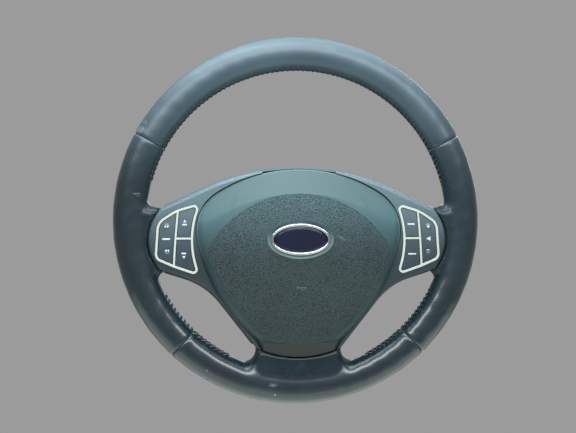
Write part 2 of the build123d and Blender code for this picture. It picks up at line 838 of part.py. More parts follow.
def airbag_inflator():
    low, high = inflator_rear, inflator_front
    profile = [(0, low), (inflator_radius - inflator_crimp[0], low)]
    profile += [(inflator_radius, low + inflator_crimp[1]), (inflator_radius, high - inflator_shoulder[1])]
    profile += [(inflator_radius - inflator_shoulder[0], high - inflator_crown), (0, high)]
    can = make_face(Polyline(*[(r, -h) for r, h in profile], close=True))
    body = Pos(0, 0, tray_z) * revolve(Plane.XY * can, Axis.Y)
    flange = Pos(0, tray_z) * RectangleRounded(flange_size, flange_size, flange_corner)
    body = body + prism(flange, tray_rear - flange_thickness, tray_rear)
    for x, z in stud_points():
        body = body - rod(x, z, stud_radius + fastener_gap, 0, front_limit)
    return body


def cushion_ring():
    seat = tray_rear + tray_sheet
    ring_side = flange_size + 2 * ring_margin
    ring = Pos(0, tray_z) * RectangleRounded(ring_side, ring_side, flange_corner + ring_margin)
    body = prism(ring, seat, seat + tray_sheet) - rod(0, tray_z, inflator_radius + switch_gap, 0, front_limit)
    for x, z in stud_points():
        body = body + rod(x, z, stud_radius, stud_end, seat)
    return body


def inflator_nuts():
    seat = tray_rear - flange_thickness
    body = []
    for x, z in stud_points():
        nut = RegularPolygon(nut_flats / 2, 6, major_radius=False) - Circle(stud_radius + fastener_gap)
        body.append(prism(Pos(x, z) * nut, seat - nut_height, seat))
    return body


def airbag_cushion():
    low = tray_rear + 2 * tray_sheet + skirt_gap
    body = prism(tray_outline(-tray_sheet - rivet_head - cushion_gap), low, cushion_front)
    body = body - rod(0, tray_z, inflator_radius + cushion_gap, 0, inflator_front + cushion_gap)
    front = body.edges().filter_by(lambda edge: edge.center().Y < 0.1 - cushion_front)
    return fillet(front, tray_corner / 2)


def badge_rim():
    front = badge_seat + badge_recess_depth + badge_rise
    body = prism(badge_oval(0) - badge_oval(-badge_rim_width), badge_seat, front)
    edges = body.edges().filter_by(lambda edge: edge.center().Y < 0.1 - front)
    return fillet(edges, badge_rim_round)


def badge_face():
    front = badge_seat + badge_recess_depth + badge_rise
    body = prism(badge_oval(-badge_rim_width - badge_gap), badge_seat, front_limit)
    return body & dome(badge_dome_radius, badge_z, front)


# Horn mechanism


def pin_points():
    return [flipped(side_pin), side_pin, lower_pin]


def horn_pins():
    body = []
    for x, z in pin_points():
        pin = rod(x, z, pin_radius, pin_end, tray_rear)
        pin = pin + rod(x, z, pin_collar_radius, tray_rear - pin_collar, tray_rear)
        groove = Circle(pin_radius + 1.0) - Circle(pin_radius - clip_groove)
        top = ear_rear - spring_end_gap
        body.append(pin - prism(Pos(x, z) * groove, top - clip_thickness, top))
    return body


def horn_clips():
    """Open spring clips that stop the pins in their bushes."""
    body = []
    top = ear_rear - spring_end_gap
    for x, z in pin_points():
        clip = Circle(clip_radius) - Circle(pin_radius - clip_groove + fastener_gap)
        clip = clip - Pos(0, -clip_radius) * Rectangle(1.5 * pin_radius, 2 * clip_radius)
        body.append(prism(Pos(x, z) * clip, top - clip_thickness, top))
    return body


def horn_bushes():
    body = []
    for x, z in pin_points():
        bush = rod(x, z, pin_radius + bush_wall, ear_rear, ear_front)
        bush = bush + rod(x, z, bush_flange_radius, ear_front, ear_front + bush_flange)
        body.append(bush - rod(x, z, pin_radius + pin_running_gap, 0, front_limit))
    return body


def horn_springs():
    low = ear_front + bush_flange + spring_end_gap + spring_wire / 2
    high = tray_rear - spring_end_gap - spring_wire / 2
    rise = high - low
    body = []
    for x, z in pin_points():
        coil = Helix(rise / spring_turns, rise, spring_radius, center=(0, 0, 0), direction=driver)
        wire = Plane(coil @ 0, x_dir=driver, z_dir=coil % 0) * Rectangle(spring_wire, spring_wire)
        body.append(Pos(x, -low, z) * sweep(wire, coil, is_frenet=True))
    return body


def contact_points():
    x, z = side_pin
    return [(contact_side - x, z), (x - contact_side, z)]


def horn_contacts():
    body = []
    tip = tray_rear - horn_travel - press_room
    for x, z in contact_points():
        post = rod(x, z, contact_radius + press_room, contact_seat, tip - contact_tip)
        body.append(post + rod(x, z, contact_radius, tip - contact_tip, tip))
    return body


# Build and write every piece

core = armature()
cells = key_cells()
nodes = {"armature": core, "rim_ring": rim_ring(), "hub_boss": hub_boss(), "rim_foam": rim_foam(core)}
nodes.update(leather_panels())
nodes["rear_cover"] = rear_cover()
right_side = {
    "bezel": right_trim(),
    "switch_frame": right_frame(),
    "rocker": rocker_key(cells[0]),
    "upper_key": push_key(cells[1]),
    "lower_key": push_key(cells[2]),
    "switch_case": right_case(cells[0]),
    "switch_board": inner_sheet(cells[0], board_rear, board_thickness),
    "switch_mat": right_mat(cells),
}
for name, piece in right_side.items():
    nodes["right_" + name] = piece
    nodes["left_" + name] = mirrored(piece)
right_screws = right_switch_screws()
nodes["switch_screws"] = Compound(right_screws + [mirrored(screw) for screw in right_screws])
nodes["cover_screws"] = Compound(cover_screws())
nodes["airbag_cover"] = airbag_cover()
nodes["airbag_tray"] = airbag_tray()
nodes["airbag_inflator"] = airbag_inflator()
nodes["airbag_cushion"] = airbag_cushion()
nodes["cushion_ring"] = cushion_ring()
nodes["inflator_nuts"] = Compound(inflator_nuts())
nodes["cover_rivets"] = Compound(cover_rivets())
nodes["badge_rim"] = badge_rim()
nodes["badge_face"] = badge_face()
nodes["horn_pins"] = Compound(horn_pins())
nodes["horn_clips"] = Compound(horn_clips())
nodes["horn_bushes"] = Compound(horn_bushes())
nodes["horn_springs"] = Compound(horn_springs())
nodes["horn_contacts"] = Compound(horn_contacts())

for name, shape in nodes.items():
    export_step(shape, f"parts/{name}.step")
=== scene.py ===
import math

import bmesh
import bpy
import numpy as np
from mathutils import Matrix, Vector
from mathutils.bvhtree import BVHTree


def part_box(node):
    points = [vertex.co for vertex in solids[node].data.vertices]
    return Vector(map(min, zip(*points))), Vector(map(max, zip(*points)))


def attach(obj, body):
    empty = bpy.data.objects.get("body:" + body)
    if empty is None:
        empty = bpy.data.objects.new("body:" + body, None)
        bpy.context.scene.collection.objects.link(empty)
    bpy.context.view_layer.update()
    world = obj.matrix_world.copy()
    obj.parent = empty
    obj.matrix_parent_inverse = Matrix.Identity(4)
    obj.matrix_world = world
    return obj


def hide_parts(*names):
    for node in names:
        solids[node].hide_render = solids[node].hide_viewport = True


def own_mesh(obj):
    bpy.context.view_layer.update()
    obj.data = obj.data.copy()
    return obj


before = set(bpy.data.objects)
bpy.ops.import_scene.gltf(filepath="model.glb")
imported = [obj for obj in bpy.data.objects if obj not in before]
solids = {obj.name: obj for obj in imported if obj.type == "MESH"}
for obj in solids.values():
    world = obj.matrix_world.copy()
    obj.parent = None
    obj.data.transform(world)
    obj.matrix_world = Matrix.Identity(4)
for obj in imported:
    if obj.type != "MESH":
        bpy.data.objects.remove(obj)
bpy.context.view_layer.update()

# Armature: the skeleton of the wheel, an aluminium die casting of hub plate and spokes. It leaves the
# die with a dull sandy skin, and only its hub shows, through the opening behind.
MM = 0.001
# Painted light: upper front parts of several finishes are tinted paler, standing in for light from above.
# These are the heights and depths in metres over which that tint comes in.
top_light_from_z = (-0.045, 0.03)
top_light_from_y = (-0.056, -0.066)


def paint(red, green, blue):
    """Linear colour of a paint written in 0 to 255 screen values."""
    shades = [channel / 255.0 for channel in (red, green, blue)]
    return tuple(((s + 0.055) / 1.055) ** 2.4 if s > 0.04 else s / 12.92 for s in shades) + (1.0,)


def add(tree, kind, settings=None, **sockets):
    """New shader node with its options, and each socket, by name or as i and its number, linked or set."""
    node = tree.nodes.new(kind)
    for option, value in (settings or {}).items():
        setattr(node, option, value)
    for name, value in sockets.items():
        numbered = name[0] == "i" and name[1:].isdigit()
        socket = node.inputs[int(name[1:]) if numbered else name]
        if isinstance(value, bpy.types.NodeSocket):
            tree.links.new(value, socket)
        else:
            socket.default_value = value
    return node


def start_finish(name, rough, metal=0.0):
    """Empty finish: its node tree, its shader and the place on the object in metres."""
    finish = bpy.data.materials.new(name)
    finish.use_nodes = True
    tree = finish.node_tree
    shader = tree.nodes["Principled BSDF"]
    shader.inputs["Roughness"].default_value = rough
    shader.inputs["Metallic"].default_value = metal
    place = add(tree, "ShaderNodeTexCoord").outputs["Object"]
    return finish, tree, shader, place


def maths(tree, operation, first, second=0.0):
    """Result of a sum, product or other operation on one or two values."""
    return add(tree, "ShaderNodeMath", {"operation": operation}, i0=first, i1=second).outputs[0]


def tint(tree, factor, first, second):
    """Colour between two colours, linked or plain."""
    return add(tree, "ShaderNodeMix", {"data_type": "RGBA"}, i0=factor, i6=first, i7=second).outputs[2]


def ramp(tree, value, low, high, to_low=0.0, to_high=1.0):
    """Smooth step of a value from one range to another."""
    node = add(tree, "ShaderNodeMapRange", {"interpolation_type": "SMOOTHSTEP"}, Value=value)
    for socket, number in zip(("From Min", "From Max", "To Min", "To Max"), (low, high, to_low, to_high)):
        node.inputs[socket].default_value = number
    return node.outputs[0]


def speckle(tree, place, scale, detail=2.0, warp=0.0):
    """Cloudy value around a half, of a scale in spots per metre."""
    noise = add(tree, "ShaderNodeTexNoise", Vector=place, Scale=scale, Detail=detail, Distortion=warp)
    return noise.outputs["Fac"]


def emboss(tree, shader, height, depth, under=None):
    """Surface relief of a depth in metres, laid over any relief below it."""
    node = add(tree, "ShaderNodeBump", Height=height, Distance=depth, Strength=1.0)
    if under is not None:
        tree.links.new(under, node.inputs["Normal"])
    tree.links.new(node.outputs["Normal"], shader.inputs["Normal"])
    return node.outputs["Normal"]


def painted_top_light_share(tree, place):
    """Share of painted top light at a place, standing in for light from above: most on upper parts near the
    front.
    """
    axes = add(tree, "ShaderNodeSeparateXYZ", Vector=place).outputs
    upper = ramp(tree, axes["Z"], *top_light_from_z)
    front = ramp(tree, axes["Y"], *top_light_from_y)
    return maths(tree, "MULTIPLY", upper, front)


def moulded(name, colour, rough, grain_scale=900.0, grain_depth=0.00004, metal=0.0,
            spread=0.08, shade=0.8, edge=0.0, top_lit_colour=None):
    """Ordinary moulded, cast or plated finish: clouded colour, uneven gloss and a fine grain.
    An edge is the radius of worn corners; the top-lit colour is the paler colour painted on upper front
    parts, standing in for light from above."""
    finish, tree, shader, place = start_finish(name, rough, metal)
    cloud = speckle(tree, place, 35.0, 3.0)
    darker = tuple(channel * shade for channel in colour[:3]) + (1.0,)
    body = tint(tree, ramp(tree, cloud, 0.3, 0.7), darker, colour)
    # Painted light: upper front parts are tinted towards the paler top-lit colour.
    if top_lit_colour:
        body = tint(tree, painted_top_light_share(tree, place), body, top_lit_colour)
    tree.links.new(body, shader.inputs["Base Color"])
    patch = speckle(tree, place, 120.0, 4.0)
    tree.links.new(ramp(tree, patch, 0.25, 0.75, rough - spread, rough + spread), shader.inputs["Roughness"])
    worn = add(tree, "ShaderNodeBevel", {"samples": 6}, Radius=edge).outputs[0] if edge else None
    emboss(tree, shader, speckle(tree, place, grain_scale), grain_depth, worn)
    return finish


def coat(finish, *names):
    """Give solids of the model a finish."""
    for name in names:
        for entry in solids[name].material_slots:
            entry.material = finish


coat(moulded("cast_aluminium", paint(168, 170, 172), 0.5, 1400.0, 0.0001, metal=1.0, shade=0.7), "armature")

# Rim ring: a drawn steel rod rolled into a circle, with its seam welded. The spokes are cast round it, and
# the foam hides it.
coat(moulded("drawn_steel", paint(118, 118, 122), 0.38, 1600.0, 0.00002, metal=1.0), "rim_ring")

# Hub boss: a turned steel bush cast into the hub plate, with a pilot bore and fine serrations that
# grip the column shaft. The lathe leaves fine rings on it.
turned_steel, tree, shader, place = start_finish("turned_steel", 0.32, 1.0)
shader.inputs["Base Color"].default_value = paint(150, 150, 152)
lathe = {"wave_type": "RINGS", "rings_direction": "Y"}
rings = add(tree, "ShaderNodeTexWave", lathe, Vector=place, Scale=420.0, Distortion=0.4)
emboss(tree, shader, rings.outputs["Fac"], 0.00003)
tree.links.new(ramp(tree, speckle(tree, place, 150.0, 4.0), 0.3, 0.7, 0.24, 0.42), shader.inputs["Roughness"])
coat(turned_steel, "hub_boss")

# Rim foam: the rim's firm padding, grey polyurethane foamed round the ring and the spoke ends in a mould.
# It leaves the mould with a dull skin, and the leather is glued over it.
coat(moulded("rim_foam_skin", paint(52, 54, 54), 0.8, 2500.0, 0.00008), "rim_foam")

# Leather: four panels of dark slate cowhide, wetted, pulled tight round the foam and glued. Their ends are
# tucked into radial seams, and at the spokes the hide runs off the rim in a hollow blend. The top of the rim
# is painted paler, standing in for light from above, and its coat is rougher there.
rim_radius = 173.0
rim_half_width = 17.0
rim_half_depth = 15.5
rim_height = 68.0
leather_thickness = 1.2
upper_seam = math.radians(28.0)
lower_seam = math.radians(46.5)
seam_half_gap = 0.2
seam_tuck = 0.8
seam_tuck_width = 0.9
seam_swell = 0.14
seam_swell_place = 4.0
seam_swell_width = 2.4
hide_wave = 0.06
hide_waves_round = (37.0, 61.0)
side_root_z = (-53.5, 14.0)
side_root_height = (54.0, 80.0)
lower_root_half_width = 45.5
lower_root_height = (55.0, 81.0)
root_edge_round = 10.0
side_root_blend = 9.4
lower_root_blend = 12.9
melt_slack = 1.2
root_fade = 10.0
cover_gap = 0.08
lip_lap = 0.5
foot_from_z = -90.0
side_end = [(141.0, 12.7), (154.7, -21.0), (143.5, -50.5)]
side_end_reach = 143.2
shoulder = (85.0, 37.9)
spoke_corner = (94.6, -66.0)
hub_foot = (43.0, -132.0)
hub_bottom = -142.0
lower_end_reach = 136.0
lace_angle = math.radians(173.0)
lace_pitch = 5.3
lace_groove = 0.9
lace_groove_width = 1.5
lace_pucker = 0.75
lace_pucker_place = 2.0
lace_pucker_width = 3.2
lace_pucker_lag = 1.5
lace_run_in = 6.0
upper_lace = (math.radians(15.0), math.radians(165.0))
side_lace = (math.radians(-46.5), math.radians(-27.0))
lower_lace = (math.radians(-63.0), math.radians(-46.5))
panel_column = math.radians(0.32)
panel_rows = 90
reach_limits = (5.0, 60.0)
reach_halvings = 34
edge_halvings = 16
rim_top_light_z = (0.02, 0.15)
full_coat_from = (0.1575, 0.163)


def circle_through(first, second, third):
    """Centre and radius of the circle through three points."""
    (ax, ay), (bx, by), (cx, cy) = first, second, third
    turn = 2.0 * (ax * (by - cy) + bx * (cy - ay) + cx * (ay - by))
    a2, b2, c2 = ax * ax + ay * ay, bx * bx + by * by, cx * cx + cy * cy
    x = (a2 * (by - cy) + b2 * (cy - ay) + c2 * (ay - by)) / turn
    y = (a2 * (cx - bx) + b2 * (ax - cx) + c2 * (bx - ax)) / turn
    return x, y, math.hypot(ax - x, ay - y)


def beside_line(x, z, start, end):
    """Distance to the left of a line from start to end."""
    run, rise = end[0] - start[0], end[1] - start[1]
    return ((z - start[1]) * run - (x - start[0]) * rise) / math.hypot(run, rise)


def rounded_bar(first, second, low, high):
    """Distance to a bar of rounded rectangular section, and the way that leads straight out of it."""
    half = [(b - a) / 2.0 - root_edge_round for a, b in (low, high)]
    off = [v - (a + b) / 2.0 for v, (a, b) in zip((first, second), (low, high))]
    out = [np.abs(v) - h for v, h in zip(off, half)]
    over = [np.maximum(v, 0.0) for v in out]
    outside = np.hypot(*over)
    way = [np.sign(v) * o / np.maximum(outside, 1e-6) for v, o in zip(off, over)]
    return outside + np.minimum(np.maximum(*out), 0.0) - root_edge_round, way


def melt(first, second, blend, turn):
    """Union of two distances with a hollow blend, full where their surfaces meet square."""
    close = np.maximum(blend - np.abs(first - second), 0.0) / blend
    return np.minimum(first, second) - np.clip(melt_slack - turn, 0.0, 1.0) * close * close * blend / 4.0


def on_section(theta, phi, rho):
    """Place of a point at a distance from the middle of the rim's section, as x, z and height."""
    radius = rim_radius + rho * np.cos(phi)
    return radius * np.cos(theta), radius * np.sin(theta), rim_height + rho * np.sin(phi)


def rim_field(theta, phi, rho):
    """Negative inside the padded rim and its spoke roots."""
    across, out = rho * np.cos(phi) / rim_half_width, rho * np.sin(phi) / rim_half_depth
    bar = (np.hypot(across, out) - 1.0) * rim_half_depth
    steep = np.hypot(across / rim_half_width, out / rim_half_depth)
    across, out = across / rim_half_width / steep, out / rim_half_depth / steep
    x, z, height = on_section(theta, phi, rho)
    side, way = rounded_bar(z, height, side_root_z, side_root_height)
    side_turn = way[0] * across * np.sin(theta) + way[1] * out
    side = side + np.maximum(np.abs(x) - rim_radius + root_fade, 0.0) ** 2 / (2.0 * root_fade)
    lower_root_x = (-lower_root_half_width, lower_root_half_width)
    foot, way = rounded_bar(x, height, lower_root_x, lower_root_height)
    foot_turn = way[0] * across * np.cos(theta) + way[1] * out
    foot = foot + np.maximum(-z - rim_radius + root_fade, 0.0) ** 2 / (2.0 * root_fade)
    foot = np.where(z < 0.0, foot, rim_radius)
    with_side = melt(bar, side, side_root_blend, side_turn)
    with_foot = melt(bar, foot, lower_root_blend, foot_turn)
    return np.minimum(with_side, with_foot)


def hub_field(theta, phi, rho):
    """Negative where the trims and covers leave no room for leather."""
    x, z, height = on_section(theta, phi, rho)
    x = np.abs(x)
    cx, cz, reach = circle_through(*side_end)
    side = np.hypot(x - cx, z - cz) - reach
    side = np.maximum(side, beside_line(x, z, shoulder, side_end[0]))
    side = np.maximum(side, -beside_line(x, z, spoke_corner, side_end[2]))
    cx, cz, reach = circle_through((-hub_foot[0], hub_foot[1]), (0.0, hub_bottom), hub_foot)
    foot = np.maximum(np.hypot(x - cx, z - cz) - reach, -beside_line(x, z, hub_foot, spoke_corner))
    radius = np.hypot(x, z)
    side = np.minimum(side - cover_gap, radius - side_end_reach)
    foot = np.minimum(foot + lip_lap, radius - lower_end_reach)
    return np.where(z > foot_from_z, side, foot)


def rim_reach(theta, phi):
    """Distance from the middle of the section to the skin along a direction."""
    shape = np.broadcast(theta, phi).shape
    low, high = (np.full(shape, limit) for limit in reach_limits)
    for halving in range(reach_halvings):
        half = (low + high) / 2.0
        inside = rim_field(theta, phi, half) < 0.0
        low = np.where(inside, half, low)
        high = np.where(inside, high, half)
    return (low + high) / 2.0


def lace_share(theta):
    """How far the inner edge at an angle is laced, from 0 to 1."""
    angle = np.where(theta < -math.pi / 2.0, -math.pi - theta, theta)
    share = np.zeros_like(angle)
    for start, end in (upper_lace, (lower_lace[0], side_lace[1])):
        edge = np.minimum(angle - start, end - angle) * rim_radius
        share = np.maximum(share, np.clip(edge / lace_run_in + 0.5, 0.0, 1.0))
    return share


def worked(theta, phi, rho, ends):
    """The skin with its tucked seams, lace groove and the slight waves of a pulled hide."""
    for end in ends:
        away = np.abs(theta - end) * rim_radius
        rho = rho - seam_tuck * np.exp(-(away / seam_tuck_width) ** 2)
        rho = rho + seam_swell * np.exp(-((away - seam_swell_place) / seam_swell_width) ** 2)
    along = theta * (rim_radius - rim_half_width)
    across = (phi - lace_angle) * rim_half_depth
    laced = lace_share(theta)
    rho = rho - laced * lace_groove * np.exp(-(across / lace_groove_width) ** 2)
    near = np.exp(-((np.abs(across) - lace_pucker_place) / lace_pucker_width) ** 2)
    turn = 2.0 * math.pi * along / lace_pitch + lace_pucker_lag * np.sign(across)
    rho = rho + laced * lace_pucker * near * np.cos(turn)
    wave = np.sin(theta * hide_waves_round[0] + 2.0 * np.sin(phi))
    wave = wave + np.sin(theta * hide_waves_round[1] - 3.0 * np.cos(phi) + 1.0)
    return rho + hide_wave * wave


def set_down(name, data):
    """New object in the scene."""
    piece = bpy.data.objects.new(name, data)
    bpy.context.scene.collection.objects.link(piece)
    return piece


def skin_panel(name, start, end, columns, rows):
    """Leather panel between two seams: a skin with real thickness, open where it meets the hub."""
    theta = np.linspace(start, end, columns)[:, None]
    phi = np.linspace(0.0, 2.0 * math.pi, rows, endpoint=False)[None, :]
    phi = np.repeat(phi, columns, axis=0)
    reach = rim_reach(theta, phi)
    hidden = hub_field(theta, phi, reach) < 0.0
    kept = ~hidden
    for way in (1, -1):
        beside = np.roll(kept, way, axis=1) & hidden
        near = np.where(beside, np.roll(phi, way, axis=1), phi)
        near = np.where(near - phi > math.pi, near - 2.0 * math.pi, near)
        near = np.where(phi - near > math.pi, near + 2.0 * math.pi, near)
        far = phi.copy()
        for halving in range(edge_halvings):
            half = (near + far) / 2.0
            clear = hub_field(theta, half, rim_reach(theta, half)) > 0.0
            near = np.where(clear, half, near)
            far = np.where(clear, far, half)
        phi = np.where(beside, near, phi)
        kept = kept | beside
        hidden = hidden & ~beside
    reach = worked(theta, phi, rim_reach(theta, phi), (start, end))
    x, z, height = on_section(theta, phi, reach)
    places = np.stack([x, -height, z], axis=-1).reshape(-1, 3) * MM
    number = np.arange(columns * rows).reshape(columns, rows)
    after = np.roll(number, -1, axis=1)
    corners = np.stack([number[:-1], number[1:], after[1:], after[:-1]], axis=-1)
    whole = kept.ravel()[corners].all(axis=-1)
    mesh = bpy.data.meshes.new(name)
    mesh.from_pydata(places.tolist(), [], corners[whole].tolist())
    work = bmesh.new()
    work.from_mesh(mesh)
    bmesh.ops.delete(work, geom=[v for v in work.verts if not v.link_faces], context="VERTS")
    bmesh.ops.recalc_face_normals(work, faces=work.faces)
    for face in work.faces:
        face.smooth = True
    work.to_mesh(mesh)
    work.free()
    panel = set_down(name, mesh)
    backing = panel.modifiers.new("thickness", "SOLIDIFY")
    backing.thickness = leather_thickness * MM
    backing.offset = -1.0
    return panel


def pebbles(tree, place, scale, scatter=1.0):
    """Height of a leather grain: 0 in the valleys between its cells."""
    edges = {"feature": "DISTANCE_TO_EDGE"}
    cells = add(tree, "ShaderNodeTexVoronoi", edges, Vector=place, Scale=scale, Randomness=scatter)
    return cells.outputs["Distance"]


hide, tree, shader, place = start_finish("slate_leather", 0.4)
axes = add(tree, "ShaderNodeSeparateXYZ", Vector=place).outputs
squares = [maths(tree, "POWER", axes[axis], 2.0) for axis in "XZ"]
from_hub = maths(tree, "SQRT", maths(tree, "ADD", *squares))
tree.links.new(ramp(tree, from_hub, *full_coat_from, 0.25, 1.0), shader.inputs["Coat Weight"])
# Painted light: the upper rim's colour is tinted paler, standing in for light from above; the coat's
# roughness rises with the same mask.
painted_top_light = ramp(tree, axes["Z"], *rim_top_light_z)
shader.inputs["Specular IOR Level"].default_value = 0.25
shader.inputs["Coat Roughness"].default_value = 0.3
tree.links.new(ramp(tree, painted_top_light, 0.0, 0.8, 0.2, 0.45), shader.inputs["Coat Roughness"])
cloud = ramp(tree, speckle(tree, place, 14.0, 4.0, 0.6), 0.3, 0.7)
# The hide's own dark colour below, and the paler colour painted as light from above on the upper rim.
base_hide_colour = tint(tree, cloud, paint(12, 29, 37), paint(20, 38, 46))
top_lit_colour = tint(tree, cloud, paint(54, 74, 84), paint(64, 85, 95))
hide_colour = tint(tree, painted_top_light, base_hide_colour, top_lit_colour)
blotch = speckle(tree, place, 110.0, 5.0, 1.0)
hide_colour = tint(tree, ramp(tree, blotch, 0.5, 0.8, 0.0, 0.2), hide_colour, paint(62, 78, 86))
angle = maths(tree, "ARCTAN2", axes["Z"], maths(tree, "ABSOLUTE", axes["X"]))
for seam in (upper_seam, -lower_seam):
    away = maths(tree, "ABSOLUTE", maths(tree, "SUBTRACT", angle, seam))
    rubbed = ramp(tree, away, 0.009, 0.003, 0.0, 0.3)
    hide_colour = tint(tree, rubbed, hide_colour, paint(112, 126, 130))

# Rubbed spots: middle and half sizes in millimetres, and strength
rubs = [
    ((-161.4, -78.3, 91.9), (7.0, 9.0, 4.0), 0.4),
    ((-157.4, -80.0, 99.5), (3.0, 9.0, 3.0), 0.2),
    ((-164.5, -82.4, 27.0), (3.6, 6.0, 0.7), 0.7),
    ((-163.6, -82.4, 24.9), (2.2, 6.0, 0.6), 0.6),
    ((-94.1, -82.4, -152.7), (1.0, 6.0, 1.0), 1.0),
    ((-25.0, -82.0, -178.7), (1.1, 6.0, 0.8), 1.0),
    ((-27.0, -83.3, -168.3), (4.4, 6.0, 2.2), 0.3),
]
scratch = speckle(tree, place, 420.0, 3.0, 2.0)
for middle, halves, strength in rubs:
    centre = [v * MM for v in middle]
    reach = [v * MM for v in halves]
    off = add(tree, "ShaderNodeVectorMath", {"operation": "SUBTRACT"}, i0=place, i1=centre)
    off = add(tree, "ShaderNodeVectorMath", {"operation": "DIVIDE"}, i0=off.outputs[0], i1=reach)
    off = add(tree, "ShaderNodeVectorMath", {"operation": "LENGTH"}, i0=off.outputs[0])
    worn = ramp(tree, off.outputs["Value"], 1.3, 0.5, 0.0, strength)
    worn = maths(tree, "MULTIPLY", worn, ramp(tree, scratch, 0.42, 0.6, 0.1, 1.0))
    hide_colour = tint(tree, worn, hide_colour, paint(168, 182, 184))
tree.links.new(hide_colour, shader.inputs["Base Color"])
gloss = speckle(tree, place, 60.0, 4.0)
tree.links.new(ramp(tree, gloss, 0.25, 0.75, 0.4, 0.48), shader.inputs["Roughness"])
crease = emboss(tree, shader, speckle(tree, place, 150.0, 4.0, 1.2), 0.00007)
emboss(tree, shader, ramp(tree, pebbles(tree, place, 880.0), 0.0, 0.25), 0.000014, crease)

panels = {
    "leather_upper": (upper_seam, math.pi - upper_seam),
    "leather_right": (-lower_seam, upper_seam),
    "leather_left": (math.pi - upper_seam, math.pi + lower_seam),
    "leather_lower": (-math.pi + lower_seam, -lower_seam),
}
gap_angle = seam_half_gap / rim_radius
for node, (start, end) in panels.items():
    columns = int((end - start) / panel_column)
    panel = skin_panel(node + "_hide", start + gap_angle, end - gap_angle, columns, panel_rows)
    panel.data.materials.append(hide)
    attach(panel, "wheel")
    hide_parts(node)

# Lacing: waxed dark thread that closes the leather along the inner edge of the rim. It is sewn by hand, one
# slanting stitch after another, and each dives into the hide at both ends.
thread_half = 0.75
thread_reach = 3.1
thread_slant = 0.34
thread_lift = 0.6
thread_dive = 1.5
thread_sides = 6
thread_points = 7


def thread_piece(name, runs):
    """Closed tubes of thread along several runs of points."""
    places, faces = [], []
    for run in runs:
        points = [Vector(point) for point in run]
        first = len(places)
        for index, point in enumerate(points):
            along = (points[min(index + 1, len(points) - 1)] - points[max(index - 1, 0)]).normalized()
            side = along.cross(Vector((0.0, 1.0, 0.0))).normalized()
            up = side.cross(along)
            share = math.sin(math.pi * (index + 0.5) / len(points)) ** 0.4
            for step in range(thread_sides):
                turn = 2.0 * math.pi * step / thread_sides
                places.append(point + (side * math.cos(turn) + up * math.sin(turn)) * thread_half * share)
        for index in range(len(points) - 1):
            for step in range(thread_sides):
                a = first + index * thread_sides + step
                b = first + index * thread_sides + (step + 1) % thread_sides
                faces.append((a, b, b + thread_sides, a + thread_sides))
        last = first + (len(points) - 1) * thread_sides
        faces.append([first + step for step in reversed(range(thread_sides))])
        faces.append([last + step for step in range(thread_sides)])
    mesh = bpy.data.meshes.new(name)
    mesh.from_pydata([tuple(place * MM) for place in places], [], faces)
    for polygon in mesh.polygons:
        polygon.use_smooth = True
    mesh.validate()
    return set_down(name, mesh)


def stitches(start, end):
    """Runs of thread over the laced edge between two angles."""
    step = lace_pitch / (rim_radius - rim_half_width)
    runs = []
    for count in range(int((end - start) / step)):
        middle = start + (count + 0.5) * step
        run = []
        for share in np.linspace(-1.0, 1.0, thread_points):
            theta = middle + share * thread_slant * step
            phi = lace_angle + share * thread_reach / rim_half_depth
            lift = thread_lift - thread_dive * abs(share) ** 3
            rho = float(rim_reach(np.array(theta), np.array(phi))) + lift
            x, z, height = on_section(theta, phi, rho)
            run.append((float(x), -float(height), float(z)))
        runs.append(run)
    return runs


waxed_thread, tree, shader, place = start_finish("waxed_thread", 0.7)
twist = {"bands_direction": "DIAGONAL"}
strand = add(tree, "ShaderNodeTexWave", twist, Vector=place, Scale=900.0, Distortion=1.0).outputs["Fac"]
tree.links.new(tint(tree, strand, paint(32, 42, 43), paint(62, 73, 73)), shader.inputs["Base Color"])
emboss(tree, shader, strand, 0.0001)
right_runs = stitches(side_lace[0] + gap_angle, side_lace[1])
right_runs += stitches(lower_lace[0], lower_lace[1] - gap_angle)
laces = {
    "upper_lacing": stitches(*upper_lace),
    "lower_right_lacing": right_runs,
    "lower_left_lacing": [[(-x, y, z) for x, y, z in run] for run in right_runs],
}
for name, runs in laces.items():
    lace = thread_piece(name, runs)
    lace.data.materials.append(waxed_thread)
    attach(lace, "wheel")

# Rear cover: a moulded bowl of black plastic behind the hub and spokes, with a fine spark-eroded grain.
# Its lip stands a little above the trims and shows from the front as a thin line, painted paler on its upper
# front parts as light from above.
# Colour painted on the cover's upper front parts, standing in for light from above.
cover_top_lit = paint(104, 122, 126)
cover_black = moulded("rear_cover_plastic", paint(58, 68, 72), 0.5, 1500.0, 0.00006, top_lit_colour=cover_top_lit)
coat(cover_black, "rear_cover")

# Cover screws: plated pan heads with a cross recess, driven from behind through the rear cover into the
# trims' posts.
cover_screw_points = [(91.0, 30.0), (97.0, -59.0), (-91.0, 30.0), (-97.0, -59.0)]
screw_head_radius = 2.6
screw_head_depth = 2.4
screw_dome = [
    (0.05, 0.0), (0.25, 0.0), (0.42, 0.0), (0.6, 0.0), (0.9, 0.05), (1.2, 0.09), (1.5, 0.15), (1.7, 0.2),
    (2.1, 0.35), (2.4, 0.6), (screw_head_radius, 1.1),
]
recess_reach = 1.55
recess_half = 0.42
recess_depth = 1.3
screw_shank_radius = 1.3
screw_tip_radius = 0.4
screw_point = 0.6
thread_turn = 1.0
thread_depth = 0.28
screw_around = 48
sharp_corner = math.radians(40.0)
screw_low, screw_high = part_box("cover_screws")
screw_back, screw_tip = -screw_high.y / MM, -screw_low.y / MM


def closed_piece(name, places, faces):
    """Piece from points in millimetres and faces, with its faces turned outwards and shaded smooth."""
    mesh = bpy.data.meshes.new(name)
    mesh.from_pydata([tuple(v * MM for v in place) for place in places], [], faces)
    work = bmesh.new()
    work.from_mesh(mesh)
    bmesh.ops.recalc_face_normals(work, faces=work.faces)
    for face in work.faces:
        face.smooth = True
    for edge in work.edges:
        edge.smooth = edge.calc_face_angle(0.0) < sharp_corner
    work.to_mesh(mesh)
    work.free()
    return set_down(name, mesh)


